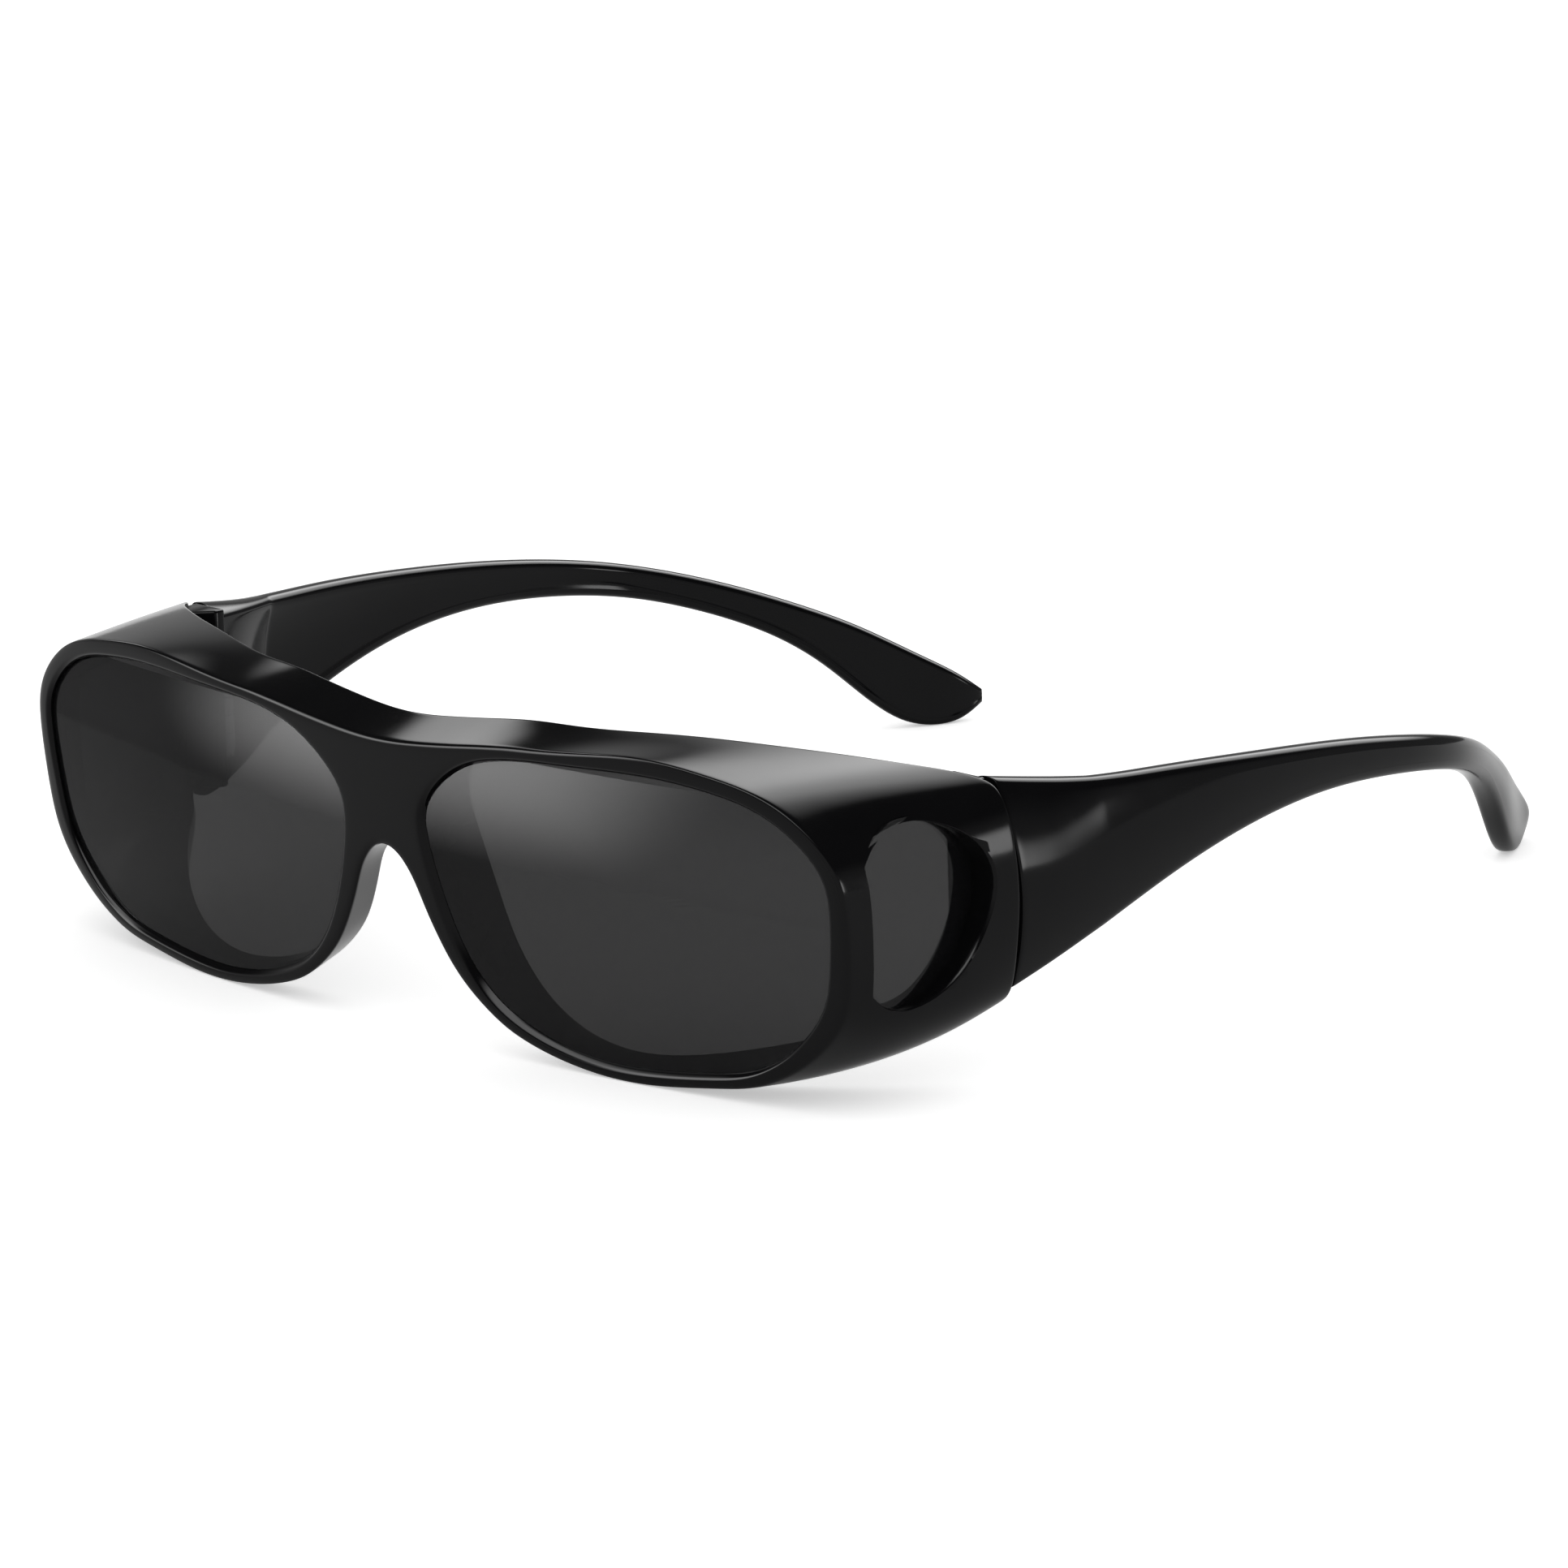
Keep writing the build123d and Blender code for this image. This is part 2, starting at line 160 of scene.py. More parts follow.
# Outer edge over the bridge and down the nose, on the front surface and carried to the seam
bridge_front = [
    (20.5, 41.9), (17.2, 41.5), (13.6, 41.0), (9.4, 40.5), (4.7, 40.0), (0, 39.8), (0, 36.3),
    (0, 32.8), (0, 29.3), (0, 25.8), (2.3, 24.9), (4.1, 22.7), (5.2, 20.6), (6.6, 17.2),
    (8.6, 13.5), (10.6, 10.4), (13.6, 7.3),
]
bridge_rear = [
    (24.0, 52.5), (20.0, 53.0), (17.0, 53.2), (11.5, 53.0), (5.7, 52.6), (0, 52.3), (0, 45),
    (0, 38), (0, 32), (0, 25.8), (11.0, 25.5), (18.8, 23.5), (21.5, 21.5), (22.0, 19.0),
    (22.0, 16.0), (22.8, 13.5), (24.5, 11.0),
]
# The station where that line starts, and those where it meets the middle and leaves it again
bridge_start = 19
bridge_top = bridge_start + 5
bridge_bottom = bridge_start + 9
stations_per_point = 3

# Side window, up its straight front edge and round its curved back, as shares of its size
window_front_edge = [(0.02, 0.10), (0.00, 0.83)]
window_back_shares = [
    (0.00, 0.83), (0.22, 0.97), (0.42, 1.00), (0.70, 0.94), (0.93, 0.79), (1.00, 0.62),
    (0.96, 0.46), (0.75, 0.17), (0.50, 0.03), (0.18, 0.00), (0.02, 0.10),
]

# Temple: back from the seam, top, floor, inward sweep, lean of the top and of the floor, and
# thickness
temple_shares = [
    (0.000, 1.000, 0.309, 0.000, 1.00, 0.52, 0.90),
    (0.050, 0.963, 0.373, -0.030, 0.85, 0.40, 0.95),
    (0.113, 0.930, 0.455, -0.055, 0.51, 0.25, 1.00),
    (0.206, 0.908, 0.566, -0.081, 0.28, 0.18, 1.00),
    (0.331, 0.872, 0.665, -0.092, 0.14, 0.12, 0.98),
    (0.463, 0.820, 0.686, -0.063, 0.10, 0.10, 0.92),
    (0.580, 0.752, 0.643, -0.011, 0.10, 0.10, 0.90),
    (0.673, 0.677, 0.577, 0.100, 0.10, 0.10, 0.90),
    (0.759, 0.580, 0.470, 0.310, 0.10, 0.10, 0.90),
    (0.837, 0.462, 0.300, 0.535, 0.12, 0.12, 0.88),
    (0.891, 0.362, 0.110, 0.685, 0.12, 0.12, 0.84),
    (0.942, 0.247, -0.002, 0.840, 0.10, 0.10, 0.76),
    (0.977, 0.165, 0.020, 0.940, 0.08, 0.08, 0.64),
    (1.000, 0.096, 0.070, 1.000, 0.05, 0.05, 0.40),
]
# Where the temple's sections have turned to its sweep, and where its hinge block ends
sweep_start = temple_shares[1][0]
block_end = temple_shares[2][0]
# Places of the temple's sections, closer together at its ends and where its block stops
temple_stations = (
    0.003, 0.010, 0.028, 0.050, 0.080, 0.107, 0.113, 0.119, 0.155, 0.206, 0.265, 0.331, 0.400,
    0.463, 0.525, 0.580, 0.628, 0.673, 0.716, 0.759, 0.800, 0.837, 0.866, 0.891, 0.918, 0.942,
    0.962, 0.977, 0.990,
)


def spline(knots, values, closed=False):
    """Smooth cubic curve through values at knots, as a function of the place among the knots."""
    t = np.array(knots, float)
    v = np.array(values, float)
    if closed:
        v = np.vstack([v, v[:1]])
    h = np.diff(t)
    spans = len(h)
    size = spans if closed else spans + 1
    a = np.zeros((size, size))
    b = np.zeros((size, v.shape[1]))
    for k in range(size):
        if not closed and k in (0, spans):
            a[k, k] = 1
            continue
        before, after = h[k - 1], h[k]
        earlier = v[k - 1] if k else v[spans - 1]
        a[k, (k - 1) % size] += before
        a[k, k] += 2 * (before + after)
        a[k, (k + 1) % size] += after
        b[k] = 6 * ((v[k + 1] - v[k]) / after - (v[k] - earlier) / before)
    m = np.linalg.solve(a, b)
    if closed:
        m = np.vstack([m, m[:1]])

    def at(u):
        k = min(max(int(np.searchsorted(t, u, side="right")) - 1, 0), spans - 1)
        p, q, width = t[k + 1] - u, u - t[k], h[k]
        bend = m[k] * (p**3 / width - width * p) / 6 + m[k + 1] * (q**3 / width - width * q) / 6
        return v[k] * p / width + v[k + 1] * q / width + bend

    return at


def moved_out(points, amounts):
    """Each point of a closed outline, moved outwards and square to its neighbours."""
    p = np.array(points, float)
    run = np.roll(p, -1, 0) - np.roll(p, 1, 0)
    run /= np.linalg.norm(run, axis=1)[:, None]
    square = np.stack([run[:, 1], -run[:, 0]], 1)
    return p + square * np.array(amounts, float).reshape(-1, 1)


def front_y(x, z):
    """Depth of the front surface at a place on the face."""
    return x**2 / (2 * front_radius) - (z - tilt_height) * tan(face_tilt)


def place(point):
    """A point in millimetres with its depth from the bridge, in the frame's metres."""
    x, y, z = point
    return (x * MM, (y + row_shift) * MM, z * MM)


def select_only(piece):
    """Makes one object the only selected one, and the active one."""
    bpy.ops.object.select_all(action="DESELECT")
    piece.select_set(True)
    bpy.context.view_layer.objects.active = piece


def in_edit_mode(piece, *steps):
    """Runs edit-mode operators, with their settings, on the whole of a piece."""
    select_only(piece)
    bpy.ops.object.mode_set(mode="EDIT")
    bpy.ops.mesh.select_all(action="SELECT")
    for operator, settings in steps:
        operator(**settings)
    bpy.ops.object.mode_set(mode="OBJECT")


def apply_modifier(piece, kind, **settings):
    """Adds one modifier with its settings and applies it."""
    select_only(piece)
    modifier = piece.modifiers.new(kind.title(), kind)
    for name, value in settings.items():
        setattr(modifier, name, value)
    bpy.ops.object.modifier_apply(modifier=modifier.name)


def subdivided(piece):
    """Rounds a piece with two levels of applied subdivision."""
    apply_modifier(piece, "SUBSURF", levels=2, render_levels=2)


def combine(piece, other, operation):
    """Joins another solid to a piece, or cuts it away, and deletes the other one."""
    apply_modifier(piece, "BOOLEAN", object=other, operation=operation, solver="EXACT")
    bpy.data.objects.remove(other)


def net(name, rows, creased=()):
    """Grid of faces whose corners lie on rows of points, in millimetres, merged where they meet.

    Lines along the named columns stay sharp when the net is subdivided.
    """
    wide = len(rows[0])
    bpy.ops.object.select_all(action="DESELECT")
    bpy.ops.mesh.primitive_grid_add(x_subdivisions=wide - 1, y_subdivisions=len(rows) - 1)
    piece = bpy.context.object
    piece.name = name
    piece.data.name = name
    points = [place(point) for row in rows for point in row]
    for vertex, point in zip(piece.data.vertices, points, strict=True):
        vertex.co = point
    crease = piece.data.attributes.new("crease_edge", "FLOAT", "EDGE")
    for edge in piece.data.edges:
        columns = {corner % wide for corner in edge.vertices}
        if len(columns) == 1 and columns <= set(creased):
            crease.data[edge.index].value = 1.0
    in_edit_mode(piece, (bpy.ops.mesh.remove_doubles, {"threshold": weld * MM}))
    return piece


def face_out(piece):
    """Turns every face of a closed piece outwards."""
    in_edit_mode(piece, (bpy.ops.mesh.normals_make_consistent, {"inside": False}))


def mirrored(piece, name):
    """A copy of a left piece as the right one, with its own mesh."""
    copy = bpy.data.objects.new(name, piece.data.copy())
    copy.data.name = name
    bpy.context.scene.collection.objects.link(copy)
    copy.data.transform(Matrix.Scale(-1, 4, (1, 0, 0)))
    in_edit_mode(copy, (bpy.ops.mesh.flip_normals, {}))
    return copy


def prism(name, outline, low, high, soft_edge=0):
    """Upright block over an outline, with its edges broken by a small bevel."""
    bpy.ops.object.select_all(action="DESELECT")
    bpy.ops.mesh.primitive_circle_add(vertices=len(outline), fill_type="NGON")
    piece = bpy.context.object
    piece.name = name
    for vertex, (x, y) in zip(piece.data.vertices, outline, strict=True):
        vertex.co = place((x, y, low))
    lift = {"value": (0, 0, (high - low) * MM)}
    in_edit_mode(piece, (bpy.ops.mesh.extrude_region_move, {"TRANSFORM_OT_translate": lift}))
    face_out(piece)
    if soft_edge:
        settings = {"offset": soft_edge * MM, "segments": 3, "affect": "EDGES"}
        in_edit_mode(piece, (bpy.ops.mesh.bevel, settings))
    return piece


def joined(pieces):
    """Several pieces as one object."""
    bpy.ops.object.select_all(action="DESELECT")
    for piece in pieces:
        piece.select_set(True)
    bpy.context.view_layer.objects.active = pieces[0]
    bpy.ops.object.join()
    return pieces[0]


# Outlines of the left eye at every station round it
opening_points = np.array([
    (half_bridge + x * opening_width, opening_floor + z * opening_height)
    for x, z in opening_shares
])
rim_points = moved_out(opening_points, [share * rim_band for share in band_shares])
rear_points = np.array([(x * rear_half_width, z * front_height) for x, z in rear_shares])
inner_points = moved_out(rear_points, [-wall] * len(rear_points))
steps = sum(
    np.linalg.norm(np.roll(outline, -1, 0) - outline, axis=1)
    for outline in (rim_points, rear_points)
)
pace = np.concatenate([[0], np.cumsum(steps)])
station_places = [
    pace[k] + (pace[k + 1] - pace[k]) * s / stations_per_point
    for k in range(len(opening_points))
    for s in range(stations_per_point)
]
station_count = len(station_places)


def at_stations(points):
    """A closed outline through the given points, read at every station."""
    curve = spline(pace, points, closed=True)
    return np.array([curve(u) for u in station_places])


opening = at_stations(opening_points)
clear = at_stations(moved_out(opening_points, [-bevel] * len(opening_points)))
outer_front = at_stations(rim_points)
outer_rear = at_stations(rear_points)
outward = at_stations(moved_out(rim_points, swell)) - at_stations(rim_points)
inner_rear = at_stations(inner_points)
for k, (front_point, rear_point) in enumerate(zip(bridge_front, bridge_rear)):
    outer_front[bridge_start + k] = front_point
    outer_rear[bridge_start + k] = rear_point
trim_x = [row[0] * rear_half_width for row in trim_shares]
brow_trim = spline(trim_x, [(row[1] * seam_depth,) for row in trim_shares])
cheek_trim = spline(trim_x, [(row[2] * seam_depth,) for row in trim_shares])


def trim_y(x, z):
    """Depth of the tub's rear edge at a place across it."""
    x = min(abs(x), trim_x[-1])
    cheek, brow = cheek_trim(x)[0], brow_trim(x)[0]
    share = (z + trim_foot) / (trim_foot + front_height + trim_head)
    return min(cheek + (brow - cheek) * share, seam_depth)


def wall_point(front_point, rear_point, depth):
    """A point of a wall that runs straight from the front surface to the seam, at a depth."""
    (x, z), (rear_x, rear_z) = front_point, rear_point
    start = front_y(x, z)
    share = (depth - start) / (seam_depth - start)
    return np.array([x + (rear_x - x) * share, depth, z + (rear_z - z) * share])


def outer_point(i, depth):
    """A point of the tub's outer wall, a little swollen between face and seam, at a depth."""
    x, y, z = wall_point(outer_front[i], outer_rear[i], depth)
    start = front_y(*outer_front[i])
    share = min(max((depth - start) / (seam_depth - start), 0), 1)
    out_x, out_z = outward[i] * 4 * share * (1 - share)
    return np.array([x + out_x, y, max(z + out_z, 0)])


def cavity_point(i, depth, growth=0):
    """A point of the tub's inner wall, or one grown outwards from it, at a depth.

    The wall is flat beside the temple.
    """
    x, y, z = wall_point(clear[i], inner_rear[i], depth)
    start_x = half_bridge + opening_width - bevel
    start_y = front_y(start_x, tilt_height)
    share = (y - start_y) / (seam_depth - start_y)
    flat = start_x + (rear_half_width - side_wall - start_x) * share
    square = (opening[i] - clear[i]) / bevel * growth
    return np.array([min(x, flat) + square[0], y, z + square[1]])


def rear_depth(point_at):
    """Depth at which a wall, given as a function of depth, meets the tub's rear edge."""
    low, high = 0.0, seam_depth
    for _ in range(trim_halvings):
        middle = (low + high) / 2
        x, y, z = point_at(middle)
        if y < trim_y(x, z):
            low = middle
        else:
            high = middle
    return high


def on_front(point, depth=0):
    """A place on the face, as a point at a depth behind the front surface."""
    x, z = point
    return np.array([x, front_y(x, z) + depth, max(z, 0)])


# Front frame: how round its edges are, and where the rows of faces lie that hold their shape.
# Bevel rows run from the lens to the face, as shares of the bevel with their depths. Corner rows
# are shares of an edge's roundness, wall rows are shares of the way back, and cavity rows are
# steps in front of the rear edge.
front_edge = 0.9
rear_edge = 0.5
groove_depths = (lens_setback - lens_clearance, lens_setback + lens_thickness + lens_clearance)
groove_columns = (0, 1, 2, 3)
bevel_rows = ((1.0, bevel + 0.05), (0.15, 0.08), (-0.4, 0.0))
face_corner_row, face_corner_depth = 0.28, 0.1
front_corner_rows = (0.35, 1.1)
wall_rows = (0.25, 0.5, 0.75)
rear_corner_rows = (1.2, 0.3)
cavity_rows = (0.15, 0.6)
# Across the bridge's middle, evenly spaced rows take the place of those from face to rear edge
middle_rows = 2 + len(front_corner_rows) + len(wall_rows) + len(rear_corner_rows)


def front_section(i):
    """Closed section of the front at one station: groove, face, outer wall, rear, inner wall."""
    before, after = outer_front[i - 1], outer_front[(i + 1) % station_count]
    run = (after - before) / np.linalg.norm(after - before)
    inward = np.array([-run[1], run[0]])
    if i in (bridge_top, bridge_bottom):
        inward = np.array([0, -1 if i == bridge_top else 1])
    edge = outer_front[i]
    along = clear[i] - opening[i]
    in_middle = bridge_top < i < bridge_bottom
    face_end = edge if in_middle else edge + front_edge * inward
    near, far = (front_y(*clear[i]) + depth for depth in groove_depths)
    grip = lens_hold + lens_clearance
    points = [
        cavity_point(i, far), cavity_point(i, far, grip),
        cavity_point(i, near, grip), cavity_point(i, near),
    ]
    points += [on_front(opening[i] + share * along, depth) for share, depth in bevel_rows]
    face_start = opening[i] + bevel_rows[-1][0] * along
    points += [on_front((face_start + face_end) / 2), on_front(face_end)]

    depth_front = front_y(*edge)
    depth_rear = rear_depth(lambda depth: outer_point(i, depth))
    inner_depth = rear_depth(lambda depth: cavity_point(i, depth))
    outer_end, inner_end = outer_point(i, depth_rear), cavity_point(i, inner_depth)
    if in_middle:
        outer_end = np.array([0, trim_y(0, edge[1]), edge[1]])
    across = inner_end - outer_end
    corner = across * rear_edge / np.linalg.norm(across)
    if in_middle:
        points += list(np.linspace(points[-1], outer_end, middle_rows + 1)[1:])
    else:
        start = outer_point(i, depth_front)
        lean = outer_point(i, depth_front + front_edge) - start
        back = outer_point(i, depth_rear - rear_edge) - outer_end
        depths = [depth_front + share * (depth_rear - depth_front) for share in wall_rows]
        points.append(on_front(edge + face_corner_row * front_edge * inward, face_corner_depth))
        points += [start + share * lean for share in front_corner_rows]
        points += [outer_point(i, depth) for depth in depths]
        points += [outer_end + share * back for share in rear_corner_rows]
        points.append(outer_end if i in (bridge_top, bridge_bottom) else outer_end + corner)
    points += [(outer_end + inner_end) / 2, inner_end - corner]
    depths = [inner_depth - step for step in cavity_rows]
    depths += [far + share * (inner_depth - far) for share in reversed(wall_rows)]
    return points + [cavity_point(i, depth) for depth in depths]


# Side window: steps along its straight edge and its curved back, and the steps outwards that round
# its outer edge, each with its distance from the wall's outer face and the window's growth there
straight_steps = 6
curved_steps = 40
window_edge_steps = ((-0.9, 0), (-0.4, 0.04), (-0.12, 0.15), (0.02, 0.34), (0.6, 0.55))
least_step = 0.02
window_overrun = 5.0


def window_outline(growth):
    """The side window's outline, grown by a margin, in places back and up."""
    size = np.array([window_length, window_height])
    start, end = (np.array(share) * size for share in window_front_edge)
    straight = [start + (end - start) * s / straight_steps for s in range(straight_steps)]
    back = np.array(window_back_shares) * size
    run = np.concatenate([[0], np.cumsum(np.linalg.norm(np.diff(back, axis=0), axis=1))])
    curve = spline(run, back)
    curved = [curve(run[-1] * s / curved_steps) for s in range(curved_steps)]
    points = np.array(straight + curved) + (window_front, window_floor)
    return moved_out(points, [-growth] * len(points))


def side_lens_x(z):
    """Outer face of the side lens, which bows out between its floor and its top."""
    height = window_height + 2 * side_lens_margin
    s = (z - window_floor + side_lens_margin) / height
    floor_bow, top_bow = side_lens_bows
    middle = rear_half_width - side_lens_inset
    return middle - floor_bow * (2 * s - 1) * (s - 1) - top_bow * s * (2 * s - 1)


def window_cutter(front):
    """Solid that cuts the left side window, its rounded outer edge, and the side lens's groove."""
    surface = BVHTree.FromObject(front, bpy.context.evaluated_depsgraph_get())
    grip = side_lens_hold + lens_clearance
    inner = -side_lens_thickness - lens_clearance
    groove_steps = ((inner, 0), (inner, grip), (lens_clearance, grip), (lens_clearance, 0))
    growths = [growth for _, growth in groove_steps + window_edge_steps]
    outlines = {growth: window_outline(growth) for growth in growths}
    centre = np.mean(outlines[0], axis=0)
    rows = []
    for k, (y, z) in enumerate(outlines[0]):
        outside = Vector(place((2 * rear_half_width, y, z)))
        wall_x = surface.ray_cast(outside, Vector((-1, 0, 0)))[0][0] / MM
        row = [(rear_half_width - side_wall, y, z)]
        for depth, growth in groove_steps:
            out_y, out_z = outlines[growth][k]
            row.append((side_lens_x(out_z) + depth, out_y, out_z))
        for depth, growth in window_edge_steps:
            row.append((max(wall_x + depth, row[-1][0] + least_step), *outlines[growth][k]))
        row.append((rear_half_width + window_overrun, *row[-1][1:]))
        rows.append([(row[0][0], *centre)] + row + [(row[-1][0], *centre)])
    cutter = net("window_cutter", rows + rows[:1])
    face_out(cutter)
    return cutter


def hinge_room(angle):
    """Room for the left hinge's barrel, for its screw from below, and for one leaf's plate."""
    turns = [2 * pi * k / barrel_sides for k in range(barrel_sides)]
    circle = [(pin_x + barrel_room * cos(a), pin_y + barrel_room * sin(a)) for a in turns]
    hinge_top = hinge_floor + hinge_height
    room = prism("hinge_room", circle, block_floor - screw_room, hinge_top + barrel_end_room)
    along = leaf_length * np.array([cos(angle), sin(angle)])
    aside = leaf_thickness / 2 * np.array([-sin(angle), cos(angle)])
    start = np.array([pin_x, pin_y])
    corners = [start - aside, start + along - aside, start + along + aside, start + aside]
    slot = prism("leaf_slot", corners, hinge_floor, hinge_top)
    combine(room, slot, "UNION")
    return room


def make_front_frame():
    """The moulded front: one net round each eye, mirrored, with hinge blocks and side windows."""
    rows = [front_section(i) for i in range(station_count)]
    rows = [row + row[:1] for row in rows + rows[:1]]
    wide = len(rows[0])
    piece = net("front_frame_shell", rows, creased=groove_columns + (wide - 1,))
    # The net's faces on the middle plane go, as they would lie inside the mirrored front
    select_only(piece)
    bpy.ops.object.mode_set(mode="EDIT")
    bpy.ops.mesh.select_all(action="DESELECT")
    bpy.ops.object.mode_set(mode="OBJECT")
    vertices = piece.data.vertices
    for face in piece.data.polygons:
        face.select = all(abs(vertices[corner].co.x) < touching * MM for corner in face.vertices)
    bpy.ops.object.mode_set(mode="EDIT")
    bpy.ops.mesh.delete(type="FACE")
    bpy.ops.mesh.select_all(action="SELECT")
    bpy.ops.mesh.delete_loose(use_verts=True, use_edges=True, use_faces=False)
    bpy.ops.object.mode_set(mode="OBJECT")
    apply_modifier(
        piece, "MIRROR", use_axis=(True, False, False), merge_threshold=mirror_weld * MM
    )
    face_out(piece)
    subdivided(piece)
    slant = seam_depth - front_block_length - front_block_slant
    outline = [
        (block_inner, seam_depth),
        (block_inner, seam_depth - front_block_length),
        (rear_half_width - side_wall, slant),
        (block_inner + block_cover, slant),
        (block_inner + block_cover, seam_depth),
    ]
    block = prism("hinge_block", outline, block_floor, front_block_top, front_block_edge)
    blocks = joined([block, mirrored(block, "hinge_block_right")])
    window = window_cutter(piece)
    room = hinge_room(front_leaf_angle)
    combine(piece, blocks, "UNION")
    for cutter in (window, room):
        combine(piece, joined([cutter, mirrored(cutter, "right_cutter")]), "DIFFERENCE")
    return piece


# Lenses: rings of faces, as shares from the middle to the edge, and the columns of a row of points
# that run along the edge
ring_shares = (0, 0.3, 0.6, 0.85, 0.97, 1)
edge_columns = (len(ring_shares) - 1, len(ring_shares))


def lens_net(name, rows):
    """A lens from its rows of points, closed at its middle, with crisp edges."""
    piece = net(name, rows + rows[:1], creased=edge_columns)
    face_out(piece)
    subdivided(piece)
    return piece


def make_lens():
    """The left lens: a curved sheet behind the opening, held in its groove."""
    centre = clear.mean(axis=0)
    rows = []
    for i in range(station_count):
        row = []
        for setback in (lens_setback, lens_setback + lens_thickness):
            edge = cavity_point(i, front_y(*clear[i]) + setback, lens_hold)[[0, 2]]
            spots = [centre + share * (edge - centre) for share in ring_shares]
            side = [(x, front_y(x, z) + setback, z) for x, z in spots]
            row += side if setback == lens_setback else side[::-1]
        rows.append(row)
    return lens_net("lens_left_sheet", rows)


def make_side_lens():
    """The left side lens: a bowed sheet in the side window's groove."""
    outline = window_outline(side_lens_hold)
    centre = outline.mean(axis=0)
    rows = []
    for edge in outline:
        spots = [centre + share * (edge - centre) for share in ring_shares]
        outer = [(side_lens_x(z), y, z) for y, z in spots]
        inner = [(x - side_lens_thickness, y, z) for x, y, z in outer]
        rows.append(outer + inner[::-1])
    return lens_net("side_lens_left_sheet", rows)


# Temple: its edges' roundness, how far the rows reach that hold them, the rows down its face, those
# across its floor and its top, and where across these the slope to the inner face begins. Its ends
# are drawn in row by row, never further than a share of the way to their middle.
temple_edge = 0.5
edge_hold = 2.8
face_steps = 6
crossing_rows = (0.36, 0.64)
slope_start = 0.3
block_end_rows = (0.3, 0.06)
tip_end_row = 0.25
most_drawn_in = 0.6
turn_step = 0.02
temple_curve = spline([row[0] for row in temple_shares], [row[1:] for row in temple_shares])


def temple_wall(back):
    """Sizes of the temple's wall at a place, and its outer face's lean as a function of height."""
    top, floor, sweep, top_lean, floor_lean, thickness = temple_curve(back)
    top, floor = top * temple_top, floor * temple_top
    x = rear_half_width - sweep * tip_inset

    def face(z):
        s = (top - z) / (top - floor)
        return -seam_lean * (top_lean * (2 * s - 1) * (s - 1) + floor_lean * s * (2 * s - 1))

    return x, top, floor, thickness * temple_thickness, face


def temple_ring(back):
    """Section of the temple at a place: outer face down, floor, inner face up, top."""
    x, top, floor, thick, face = temple_wall(back)
    end_x, end_top, end_floor, end_thick, end_face = temple_wall(block_end)
    share = min(back / block_end, 1)
    block_x = pin_x + block_relief
    inner_top, inner_floor = top, floor
    if share < 1:
        inner_top = block_top + share * (end_top - block_top)
        inner_floor = block_floor + share * (end_floor - block_floor)
    edge = temple_edge * thick / temple_thickness
    heights = [top - edge, top - edge_hold * edge]
    heights += [top + (floor - top) * s / face_steps for s in range(1, face_steps)]
    heights += [floor + edge_hold * edge, floor + edge]
    outer = [(face(z), z) for z in heights]
    inner = []
    for z in heights:
        inner_z = inner_floor + (z - floor) / (top - floor) * (inner_top - inner_floor)
        depth = face(z) - thick
        if share < 1:
            end_z = min(max(inner_z, end_floor), end_top)
            end_depth = end_x + end_face(end_z) - end_thick
            depth = block_x + share * (end_depth - block_x) - x
        inner.append((depth, inner_z))

    def crossing(start, end, rim, inner_rim, bulge):
        """Bulging floor or top, from the outer face to the inner one."""
        inset = edge / abs(end - start)
        spots = []
        for s in (inset, *crossing_rows, 1 - inset):
            level = rim + (inner_rim - rim) * max(s - slope_start, 0) / (1 - slope_start)
            spots.append((start + (end - start) * s, level + 4 * bulge * s * (1 - s)))
        return spots

    floor_spots = crossing(outer[-1][0], inner[-1][0], floor, inner_floor, -edge_bulge)
    top_spots = crossing(outer[0][0], inner[0][0], top, inner_top, edge_bulge)
    ring = outer + floor_spots + inner[::-1] + top_spots[::-1]
    before, after = max(back - turn_step, 0), min(back + turn_step, 1)
    swing = temple_wall(before)[0] - temple_wall(after)[0]
    turn = atan2(swing, (after - before) * temple_length) * min(back / sweep_start, 1)
    y = temple_start + back * temple_length
    return np.array([(x + d * cos(turn), y + d * sin(turn), max(z, 0)) for d, z in ring])


def make_temple():
    """The left temple: a curved, tapering arm with its hinge block, closed at both ends."""
    first, last = temple_ring(0), temple_ring(1)
    count = len(first)
    # Each point's partner across the ring, on the other face
    partner = [(count - 3 - len(crossing_rows) - k) % count for k in range(count)]

    def spine(ring):
        """A ring pressed flat onto its middle line."""
        return (ring + ring[partner]) / 2

    def drawn_in(ring, inset):
        """A ring drawn in towards its middle line."""
        inward = spine(ring) - ring
        reach = np.linalg.norm(inward, axis=1)[:, None]
        return ring + inward * np.minimum(inset / reach, most_drawn_in)

    rows = [spine(first)] + [drawn_in(first, inset) for inset in block_end_rows]
    rows += [temple_ring(back) for back in temple_stations]
    rows += [drawn_in(last, tip_end_row), spine(last)]
    piece = net("temple_left_arm", [np.vstack([row, row[:1]]) for row in rows])
    face_out(piece)
    subdivided(piece)
    combine(piece, hinge_room(temple_leaf_angle), "DIFFERENCE")
    return piece


# Hinges: how far their edges are broken, the angle up to which faces count as one flat, and the
# angle from which an edge counts as sharp
leaf_edge = 0.08
screw_edge = 0.1
flat_angle = radians(0.5)
sharp_angle = radians(35)


